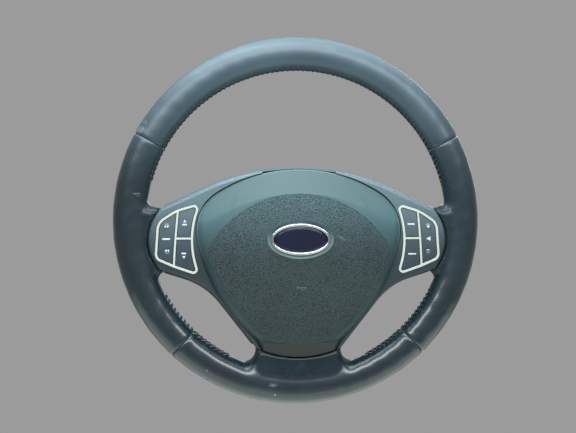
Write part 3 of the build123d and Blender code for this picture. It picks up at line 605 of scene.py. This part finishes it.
def screw_set(name, points):
    """Screws along the wheel's axis: domed head with a cross recess, then a threaded shank."""
    around = screw_around
    turns = [2.0 * math.pi * step / around for step in range(around)]
    rings = [(radius, depth, True) for radius, depth in screw_dome]
    rings.append((screw_head_radius, screw_head_depth, True))
    shank = screw_tip - screw_back
    count = int((shank - screw_head_depth - screw_point) / (thread_turn / 2.0))
    for step in range(count):
        radius = screw_shank_radius - (thread_depth if step % 2 else 0.0)
        rings.append((radius, screw_head_depth + step * thread_turn / 2.0, False))
    rings.append((screw_tip_radius, shank, False))
    places, faces = [], []
    for x, z in points:
        first = len(places)
        for radius, depth, on_head in rings:
            for turn in turns:
                side, rise = radius * math.cos(turn), radius * math.sin(turn)
                near, far = sorted((abs(side), abs(rise)))
                sunk = recess_depth if on_head and near < recess_half and far < recess_reach else 0.0
                places.append((x + side, -(screw_back + depth + sunk), z + rise))
        for level in range(len(rings) - 1):
            for step in range(around):
                a = first + level * around + step
                b = first + level * around + (step + 1) % around
                faces.append((a, b, b + around, a + around))
        last = first + (len(rings) - 1) * around
        faces.append([first + step for step in range(around)])
        faces.append([last + step for step in reversed(range(around))])
    return closed_piece(name, places, faces)


plated = moulded("plated_steel", paint(158, 156, 148), 0.38, 1200.0, 0.00002, metal=1.0)
screws = screw_set("cover_screw_set", cover_screw_points)
screws.data.materials.append(plated)
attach(screws, "wheel")
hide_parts("cover_screws")

# Spoke trims: satin dark plastic shells with rolled edges, screwed on round the switches.
# Handling has polished them along the edges, and their upper parts are painted paler, as light from above.
trim_draw = 0.66
trim_draw_full = 0.9
trim_draw_reach = 1.6
# Colour painted on the trims' upper front parts, standing in for light from above.
trim_top_lit = paint(96, 115, 121)


def drawn_up(name, beside):
    """Copy of a solid whose wall along another stands a little nearer to it, as the screws draw it up."""
    mesh = solids[name].data.copy()
    other = solids[beside].data
    wall = BVHTree.FromPolygons([v.co for v in other.vertices], [p.vertices for p in other.polygons])
    for vertex in mesh.vertices:
        nearest, normal, index, away = wall.find_nearest(vertex.co)
        share = min(1.0, (trim_draw_reach - away / MM) / (trim_draw_reach - trim_draw_full))
        if share > 0.0:
            vertex.co += (nearest - vertex.co).normalized() * trim_draw * share * MM
    return set_down(name.replace("bezel", "trim"), mesh)


trim_satin = moulded("spoke_trim_plastic", paint(46, 58, 62), 0.33, 1800.0, 0.00002,
                     spread=0.05, shade=0.88, edge=0.001, top_lit_colour=trim_top_lit)
for side in ("left", "right"):
    trim = drawn_up(side + "_bezel", "airbag_cover")
    trim.data.materials.clear()
    trim.data.materials.append(trim_satin)
    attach(trim, "wheel")
    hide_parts(side + "_bezel")

# Switch frames: one-piece moulded frames with dividers between the keys, in satin silver paint.
# They snap into the trims from behind.
silver = moulded("satin_silver", paint(204, 208, 196), 0.3, 2600.0, 0.00001, metal=0.1,
                 spread=0.05, shade=0.95, edge=0.0006)
coat(silver, "left_switch_frame", "right_switch_frame")

# Keys: dark plastic under soft paint, a rocker and two push keys on each side. The rocker swings on the
# pivots of its case and the push keys slide in its guides. Their upper parts are painted paler, as light from
# above.
# Colour painted on the keys' upper front parts, standing in for light from above.
key_top_lit = paint(98, 114, 120)
key_dark = moulded("key_plastic", paint(52, 65, 73), 0.36, 2200.0, 0.00002,
                   spread=0.05, shade=0.86, edge=0.0006, top_lit_colour=key_top_lit)
for side in ("left", "right"):
    coat(key_dark, side + "_rocker", side + "_upper_key", side + "_lower_key")

# Key marks: white pad-printed arrows, bars and signs, a thin layer of paint on the keys. The rockers' ones
# lie on a raised upper spot and a hollow lower one.
touch_x = 134.65
upper_touch_z = -6.3
lower_touch_z = -30.7
arrow_size = 2.3
arrow_apart = 1.2
print_depth = 0.3
print_rise = 0.09
mark_step = 0.7
mark_rings = (1.0, 0.7, 0.35)


def face_height(name):
    """Height of a solid's front at any place on the front view."""
    mesh = solids[name].data
    skin = BVHTree.FromPolygons([v.co for v in mesh.vertices], [p.vertices for p in mesh.polygons])
    back = Vector((0.0, 1.0, 0.0))
    return lambda x, z: -skin.ray_cast(Vector((x * MM, -1.0, z * MM)), back)[0].y / MM


def bar(x, z, width, height):
    """Upright-ended bar with rounded corners, as points."""
    points = []
    round_end = min(width, height) * 0.3
    for way_x, way_z, start in ((1, 1, 0.0), (-1, 1, 90.0), (-1, -1, 180.0), (1, -1, 270.0)):
        for turn in (0.0, 45.0, 90.0):
            side = round_end * (math.cos(math.radians(start + turn)) - way_x)
            rise = round_end * (math.sin(math.radians(start + turn)) - way_z)
            points.append((x + way_x * width / 2.0 + side, z + way_z * height / 2.0 + rise))
    return points


def arrow(x, z, way_x, way_z, size):
    """Triangle that points one way, as points."""
    along, across = (way_x * size, way_z * size), (-way_z * size, way_x * size)
    ends = [(0.55, 0.0), (0.05, 0.31), (-0.45, 0.62), (-0.45, 0.0), (-0.45, -0.62), (0.05, -0.31)]
    return [(x + a * along[0] + b * across[0], z + a * along[1] + b * across[1]) for a, b in ends]


def plus(x, z, reach, half):
    """Upright cross, as points."""
    corners = [(reach, -half), (reach, half), (half, half), (half, reach), (-half, reach), (-half, half)]
    corners += [(-a, -b) for a, b in corners]
    return [(x + a, z + b) for a, b in corners]


def raised_marks(name, shapes, height_at, depth, rise):
    """Low flat shapes that follow the surface below them, each in rings from its outline to its middle."""
    places, faces = [], []
    for corners in shapes:
        outline = []
        for (ax, az), (bx, bz) in zip(corners, corners[1:] + corners[:1]):
            parts = max(1, math.ceil(math.hypot(bx - ax, bz - az) / mark_step))
            for part in range(parts):
                outline.append((ax + (bx - ax) * part / parts, az + (bz - az) * part / parts))
        mx, mz = (sum(values) / len(corners) for values in zip(*corners))
        first, count = len(places), len(outline)
        places += [(x, -height_at(x, z) + depth, z) for x, z in outline]
        for share in mark_rings:
            ring = [(mx + (x - mx) * share, mz + (z - mz) * share) for x, z in outline]
            places += [(x, -height_at(x, z) - rise, z) for x, z in ring]
        places.append((mx, -height_at(mx, mz) - rise, mz))
        for step in range(count):
            after = (step + 1) % count
            for level in range(len(mark_rings)):
                a = first + level * count + step
                b = first + level * count + after
                faces.append((a, b, b + count, a + count))
            inner = first + len(mark_rings) * count
            faces.append((inner + step, inner + after, len(places) - 1))
        faces.append([first + step for step in reversed(range(count))])
    return closed_piece(name, places, faces)


speaker = [(-2.1, 0.8), (-0.9, 0.8), (0.5, 1.6), (1.7, 2.3), (1.7, 0.0)]
speaker += [(1.7, -2.3), (0.5, -1.6), (-0.9, -0.8), (-2.1, -0.8)]
marks = {
    "left_rocker": [
        arrow(-touch_x - arrow_apart, upper_touch_z, 1, 0, arrow_size),
        arrow(-touch_x + arrow_apart, upper_touch_z, 1, 0, arrow_size),
        arrow(-touch_x - arrow_apart, lower_touch_z, -1, 0, arrow_size),
        arrow(-touch_x + arrow_apart, lower_touch_z, -1, 0, arrow_size),
        bar(-135.4, -18.9, 8.0, 1.7),
    ],
    "left_upper_key": [arrow(-116.6, -0.7, 0, 1, 2.7), bar(-116.8, -4.3, 4.8, 1.5)],
    "left_lower_key": [bar(-117.6, -33.6, 4.8, 1.5), arrow(-117.5, -37.4, 0, -1, 2.7)],
    "right_rocker": [
        plus(touch_x, upper_touch_z, 1.7, 0.5),
        bar(touch_x, lower_touch_z, 3.2, 0.9),
        [(135.4 + x, -18.9 + z) for x, z in speaker],
    ],
    "right_upper_key": [bar(116.4, -3.8, 7.6, 1.5)],
    "right_lower_key": [bar(117.6, -34.7, 8.6, 1.4)],
}
white_print = moulded("white_print", paint(214, 220, 222), 0.5, 3000.0, 0.00001, shade=0.93)
for key, shapes in marks.items():
    mark = raised_marks(key + "_marks", shapes, face_height(key), print_depth, print_rise)
    mark.data.materials.append(white_print)
    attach(mark, key + "_body")

# Switch boxes: black moulded cases behind the keys. Each holds a green circuit board under a pale rubber mat
# whose domes spring the keys back, and plated screws fix it to its trim.
case_black = moulded("case_plastic", paint(46, 48, 50), 0.6)
board_green = moulded("circuit_board", paint(38, 96, 62), 0.35, 500.0, 0.00003)
mat_pale = moulded("mat_rubber", paint(196, 196, 188), 0.7)
for side in ("left", "right"):
    coat(case_black, side + "_switch_case")
    coat(board_green, side + "_switch_board")
    coat(mat_pale, side + "_switch_mat")
coat(plated, "switch_screws")

# Airbag cover: a shield of soft moulded plastic, clipped and riveted to the tray. A fine leather grain covers
# the domed face and fades out along its rolled sides; the brow above and the lip below are smooth. Its upper
# half and upper brow are painted paler and its rolled upper edges carry a painted highlight, as light from
# above; its grain valleys carry painted shade, and its badge seat painted shade above and painted light
# below.
# A short scrape crosses the face beside the badge.
brow_centre_z = -79.0
brow_radius = 106.0
lip_centre_z = 40.0
lip_radius = 165.7
badge_z = -19.2
seat_half = (33.6, 19.6)
scrape = ((36.4, -14.6), (46.6, -20.7))
grain_edge = (-0.0006, 0.0002)


def from_ring(tree, axes, centre_z, radius, squeeze=1.0):
    """Distance outside a ring or oval on the front view, in metres across."""
    rise = maths(tree, "MULTIPLY", maths(tree, "SUBTRACT", axes["Z"], centre_z * MM), squeeze)
    square = maths(tree, "ADD", maths(tree, "POWER", axes["X"], 2.0), maths(tree, "POWER", rise, 2.0))
    return maths(tree, "SUBTRACT", maths(tree, "SQRT", square), radius * MM)


pad, tree, shader, place = start_finish("airbag_cover_plastic", 0.42)
axes = add(tree, "ShaderNodeSeparateXYZ", Vector=place).outputs
normal = add(tree, "ShaderNodeTexCoord").outputs["Normal"]
facing = add(tree, "ShaderNodeSeparateXYZ", Vector=normal).outputs["Y"]
smooth_brow = ramp(tree, from_ring(tree, axes, brow_centre_z, brow_radius), *grain_edge)
# Painted light: the smooth brow's upper part is tinted paler, standing in for light from above on it.
painted_brow_light = maths(tree, "MULTIPLY", smooth_brow, ramp(tree, axes["Z"], -0.01, 0.035))
smooth_lip = ramp(tree, from_ring(tree, axes, lip_centre_z, lip_radius), *grain_edge)
from_seat = from_ring(tree, axes, badge_z, seat_half[0], seat_half[0] / seat_half[1])
smooth_seat = ramp(tree, from_seat, 0.0002, -0.0004)
smooth_side = ramp(tree, facing, -0.988, -0.9)
smooth_end = maths(tree, "MAXIMUM", smooth_brow, smooth_lip)
smooth = maths(tree, "MAXIMUM", smooth_end, maths(tree, "MAXIMUM", smooth_seat, smooth_side))

(start_x, start_z), (end_x, end_z) = scrape
run = math.hypot(end_x - start_x, end_z - start_z)
lean_x, lean_z = (end_x - start_x) / run, (end_z - start_z) / run
from_x = maths(tree, "SUBTRACT", axes["X"], (start_x + end_x) / 2.0 * MM)
from_z = maths(tree, "SUBTRACT", axes["Z"], (start_z + end_z) / 2.0 * MM)
along = maths(tree, "ADD", maths(tree, "MULTIPLY", from_x, lean_x), maths(tree, "MULTIPLY", from_z, lean_z))
across = maths(tree, "MULTIPLY", from_z, lean_x)
across = maths(tree, "SUBTRACT", maths(tree, "MULTIPLY", from_x, lean_z), across)
scrape_line = ramp(tree, maths(tree, "ABSOLUTE", across), 0.0016, 0.0002, 0.0, 0.22)
scrape_ends = ramp(tree, maths(tree, "ABSOLUTE", along), run / 2.0 * MM, run / 4.0 * MM)
scraped = maths(tree, "MULTIPLY", scrape_line, scrape_ends)

slant = (0.0, math.radians(35.0), 0.0)
turned = add(tree, "ShaderNodeMapping", Vector=place, Rotation=slant, Scale=(1.0, 0.0, 1.5))
cells = pebbles(tree, turned.outputs[0], 480.0, 0.6)
cloud = ramp(tree, speckle(tree, place, 22.0, 4.0), 0.3, 0.7)
pad_colour = tint(tree, cloud, paint(29, 51, 54), paint(38, 61, 64))
# Painted light: the cover's upper half is tinted paler, standing in for light from above.
painted_top_light = ramp(tree, axes["Z"], *top_light_from_z)
pad_colour = tint(tree, painted_top_light, pad_colour, paint(72, 106, 112))
grained = maths(tree, "SUBTRACT", 1.0, smooth)
# Painted shade: the grain's valleys are darkened, standing in for shade between the grain cells.
painted_grain_shade = maths(tree, "MULTIPLY", ramp(tree, cells, 0.3, 0.0, 0.0, 0.8), grained)
pad_colour = tint(tree, painted_grain_shade, pad_colour, paint(12, 25, 27))
pad_colour = tint(tree, painted_brow_light, pad_colour, paint(72, 95, 96))
# Painted highlight: the rolled side edges of the upper cover are tinted pale, as light caught on them.
painted_edge_highlight = maths(tree, "MULTIPLY", ramp(tree, facing, -0.75, -0.35), ramp(tree, axes["Z"], -0.05, 0.0))
pad_colour = tint(tree, painted_edge_highlight, pad_colour, paint(112, 138, 142))
pad_colour = tint(tree, smooth_lip, pad_colour, paint(16, 27, 24))
# Painted light and shade: the dished seat is dark on its upper wall and pale on its lower wall, as light from
# above falls on it.
painted_seat_light = ramp(tree, axes["Z"], (badge_z + 12.0) * MM, (badge_z - 8.0) * MM)
seat_light_and_shade = tint(tree, painted_seat_light, paint(46, 68, 76), paint(108, 130, 126))
pad_colour = tint(tree, smooth_seat, pad_colour, seat_light_and_shade)
pad_colour = tint(tree, scraped, pad_colour, paint(128, 146, 146))
tree.links.new(pad_colour, shader.inputs["Base Color"])

gloss = maths(tree, "SUBTRACT", 0.5, maths(tree, "MULTIPLY", smooth_seat, 0.28))
gloss = maths(tree, "ADD", gloss, maths(tree, "MULTIPLY", smooth_brow, 0.05))
tree.links.new(gloss, shader.inputs["Roughness"])
grain = ramp(tree, cells, 0.0, 0.3)
grain = add(tree, "ShaderNodeMix", {"data_type": "FLOAT"}, i0=smooth, i2=grain, i3=1.0).outputs[0]
soft_side = ramp(tree, maths(tree, "ABSOLUTE", axes["X"]), 0.02, 0.09)
sharp = add(tree, "ShaderNodeNewGeometry").outputs["Normal"]
rolled = add(tree, "ShaderNodeBevel", {"samples": 8}, Radius=0.009).outputs[0]
form = add(tree, "ShaderNodeMix", {"data_type": "VECTOR"}, i0=soft_side, i4=sharp, i5=rolled).outputs[1]
emboss(tree, shader, grain, 0.00026, form)
coat(pad, "airbag_cover")

# Horn sign: a plain bugle raised on the cover where the driver presses. It is moulded with the cover, in the
# same soft plastic, and painted paler than the cover: a painted highlight standing in for the light on its
# edges.
sign_middle = (0.8, -68.0)
sign_depth = 0.3
sign_rise = 0.4
bell = [(-5.0, 2.2), (-5.0, 0.0), (-5.0, -2.2), (-3.6, -1.1)]
bell += [(-1.8, -0.5), (-1.8, 0.0), (-1.8, 0.5), (-3.6, 1.1)]
bugle = [
    bell,
    bar(1.5, 0.0, 6.8, 1.0),
    bar(5.0, 0.0, 0.9, 1.9),
    bar(-0.7, -1.2, 0.8, 1.7),
    bar(2.9, -1.2, 0.8, 1.7),
    bar(1.1, -2.0, 4.4, 0.8),
]
sign_shapes = [[(sign_middle[0] + x, sign_middle[1] + z) for x, z in shape] for shape in bugle]
sign = raised_marks("horn_sign", sign_shapes, face_height("airbag_cover"), sign_depth, sign_rise)
# Painted highlight: the sign's colour is paler than the cover's, standing in for light caught on its edges.
painted_sign_highlight = moulded("painted_sign_highlight_plastic", paint(74, 94, 96), 0.42, 1800.0, 0.00002, edge=0.0006)
sign.data.materials.append(painted_sign_highlight)
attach(sign, "airbag_module")

# Airbag tray, inflator and ring: pressed and plated steel that holds the bag behind its cover. The ring's
# studs and nuts clamp bag and inflator to the tray, and aluminium rivets hold the cover on.
tray_steel = moulded("tray_steel", paint(160, 160, 154), 0.42, 900.0, 0.00003, metal=1.0)
coat(tray_steel, "airbag_tray", "airbag_inflator", "cushion_ring")
coat(plated, "inflator_nuts")
coat(moulded("rivet_aluminium", paint(186, 186, 188), 0.4, metal=1.0), "cover_rivets")

# Airbag cushion: the bag itself, coated woven nylon folded to and fro into a packet over the inflator and
# held down by the ring.
fold_height = 3.4
fold_depth = 0.9
fold_run = 11.0
crease_depth = 0.7
edge_wander = (0.4, 17.0)
pleat_wander = (1.2, 23.0)
packet_room = 0.15
packet_voxel = 1.8
packet = set_down("folded_cushion", solids["airbag_cushion"].data.copy())
even = packet.modifiers.new("even", "REMESH")
even.mode = "VOXEL"
even.voxel_size = packet_voxel * MM
even.use_smooth_shade = True
bpy.context.view_layer.update()
remade = packet.evaluated_get(bpy.context.evaluated_depsgraph_get())
evened = bpy.data.meshes.new_from_object(remade)
packet.modifiers.clear()
packet.data = evened
places = np.array([vertex.co for vertex in evened.vertices]) / MM
normals = np.array([vertex.normal for vertex in evened.vertices])
layer = places[:, 1] + edge_wander[0] * np.sin(places[:, 0] / edge_wander[1])
edge_fold = np.abs(np.cos(math.pi * layer / fold_height)) ** 4
sideways = np.clip(1.0 - np.abs(normals[:, 1]) * 1.4, 0.0, 1.0)
pleat = places[:, 2] + pleat_wander[0] * np.sin(places[:, 0] / pleat_wander[1])
front_fold = np.abs(np.cos(math.pi * pleat / fold_run)) ** 12
frontways = np.clip(-normals[:, 1], 0.0, 1.0)
sunk = packet_room + fold_depth * edge_fold * sideways + crease_depth * front_fold * frontways
places = (places - normals * sunk[:, None]) * MM
evened.vertices.foreach_set("co", places.astype(np.float32).ravel())
evened.update()
woven, tree, shader, place = start_finish("coated_nylon", 0.8)
yarns = []
for direction in "XZ":
    yarn = add(tree, "ShaderNodeTexWave", {"bands_direction": direction}, Vector=place, Scale=260.0)
    yarns.append(yarn.outputs["Fac"])
weave = maths(tree, "MULTIPLY", *yarns)
tree.links.new(tint(tree, weave, paint(196, 194, 184), paint(222, 220, 210)), shader.inputs["Base Color"])
emboss(tree, shader, weave, 0.0001)
evened.materials.clear()
evened.materials.append(woven)
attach(packet, "airbag_module")
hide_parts("airbag_cushion")

# Badge: a bright plated oval ring round a plain dark gloss oval. Both are plastic mouldings, and the pair is
# pressed into its dished seat in the cover.
badge_chrome = moulded("badge_chrome", paint(206, 212, 214), 0.17, 700.0, 0.000001, metal=1.0,
                       spread=0.03, shade=0.95)
coat(badge_chrome, "badge_rim")
badge_gloss = moulded("badge_gloss", paint(20, 28, 50), 0.14, 500.0, 0.000004, spread=0.04, edge=0.005)
coat(badge_gloss, "badge_face")

# Horn parts: turned steel pins on the tray slide in nylon bushes pressed into the armature's ears, and spring
# clips stop them. Brass contacts just behind the tray close the horn's circuit when it is pressed.
coat(turned_steel, "horn_pins")
coat(plated, "horn_clips")
coat(moulded("bush_nylon", paint(222, 220, 210), 0.5), "horn_bushes")
coat(moulded("contact_brass", paint(190, 160, 92), 0.35, metal=1.0), "horn_contacts")

# Horn springs: steel coils round the pins, which push the module back towards the driver and shorten as
# it is pressed to sound the horn.
coils = set_down("horn_coils", solids["horn_springs"].data.copy())
coils.data.materials.clear()
coils.data.materials.append(moulded("spring_steel", paint(150, 150, 150), 0.35, metal=1.0))
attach(coils, "wheel")
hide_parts("horn_springs")
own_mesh(coils)

# Stage: a plain pale floor well below the wheel, plain grey behind, soft lamps above and in front. A low lamp
# lifts the underside of the rim, and a weak one lights the back.
backdrop_grey = paint(155, 155, 155)
floor_radius = 1.25
floor_z = -0.66
floor_mesh = bpy.data.meshes.new("floor")
work = bmesh.new()
bmesh.ops.create_circle(work, cap_ends=True, segments=64, radius=floor_radius)
work.to_mesh(floor_mesh)
work.free()
floor = set_down("floor", floor_mesh)
floor.location = (0.0, 0.0, floor_z)
floor_mesh.materials.append(moulded("pale_floor", paint(200, 200, 198), 0.8, 60.0, 0.0001, shade=0.97))

world = bpy.data.worlds.new("studio")
bpy.context.scene.world = world
world.use_nodes = True
tree = world.node_tree
tree.nodes.clear()
path = add(tree, "ShaderNodeLightPath").outputs
behind = add(tree, "ShaderNodeBackground", Color=backdrop_grey, Strength=1.0).outputs[0]
around = add(tree, "ShaderNodeBackground", Color=(0.62, 0.68, 0.70, 1.0), Strength=0.3).outputs[0]
seen = maths(tree, "MAXIMUM", path["Is Glossy Ray"], path["Is Transmission Ray"])
seen = maths(tree, "MAXIMUM", path["Is Camera Ray"], seen)
mixed = add(tree, "ShaderNodeMixShader", i0=seen, i1=around, i2=behind).outputs[0]
add(tree, "ShaderNodeOutputWorld", Surface=mixed)


def lamp(name, place, aim, width, height, power, colour):
    """Soft rectangular lamp turned towards a point."""
    data = bpy.data.lights.new(name, "AREA")
    data.shape = "RECTANGLE"
    data.size = width
    data.size_y = height
    data.energy = power
    data.color = colour
    piece = set_down(name, data)
    piece.location = place
    piece.rotation_mode = "QUATERNION"
    piece.rotation_quaternion = (Vector(aim) - Vector(place)).to_track_quat("-Z", "Y")
    piece.visible_camera = False


lamp("sky_lamp", (0.0, -0.05, 0.85), (0.0, -0.05, 0.0), 1.6, 1.0, 11.0, (0.74, 0.94, 1.0))
lamp("top_lamp", (-0.1, -0.3, 0.62), (0.0, -0.08, 0.02), 0.6, 0.3, 3.6, (0.78, 0.95, 1.0))
lamp("front_lamp", (0.0, -1.3, 0.82), (0.0, -0.07, -0.05), 2.4, 0.34, 30.0, (0.92, 0.97, 1.0))
lamp("low_lamp", (0.0, -0.12, -0.6), (0.0, -0.08, 0.0), 2.2, 0.8, 5.0, (0.9, 1.0, 0.86))
lamp("back_lamp", (0.35, 1.1, 0.4), (0.0, 0.0, 0.0), 0.9, 0.6, 5.0, (0.95, 1.0, 1.0))

# Camera: level with the hub and a little to the driver's left, about a metre away.
view_yaw = math.radians(5.0)
view_shift = (-0.0116, 0.0018)
view_place = Vector((-0.0904, -1.0615, 0.0029))
camera_data = bpy.data.cameras.new("camera")
camera_data.sensor_fit = "HORIZONTAL"
camera_data.sensor_width = 36.0
camera_data.lens = 60.0
camera_data.shift_x, camera_data.shift_y = view_shift
camera = set_down("camera", camera_data)
camera.location = view_place
camera.rotation_euler = (math.radians(90.0), 0.0, -view_yaw)
bpy.context.scene.camera = camera
bpy.context.scene.view_settings.view_transform = "Standard"
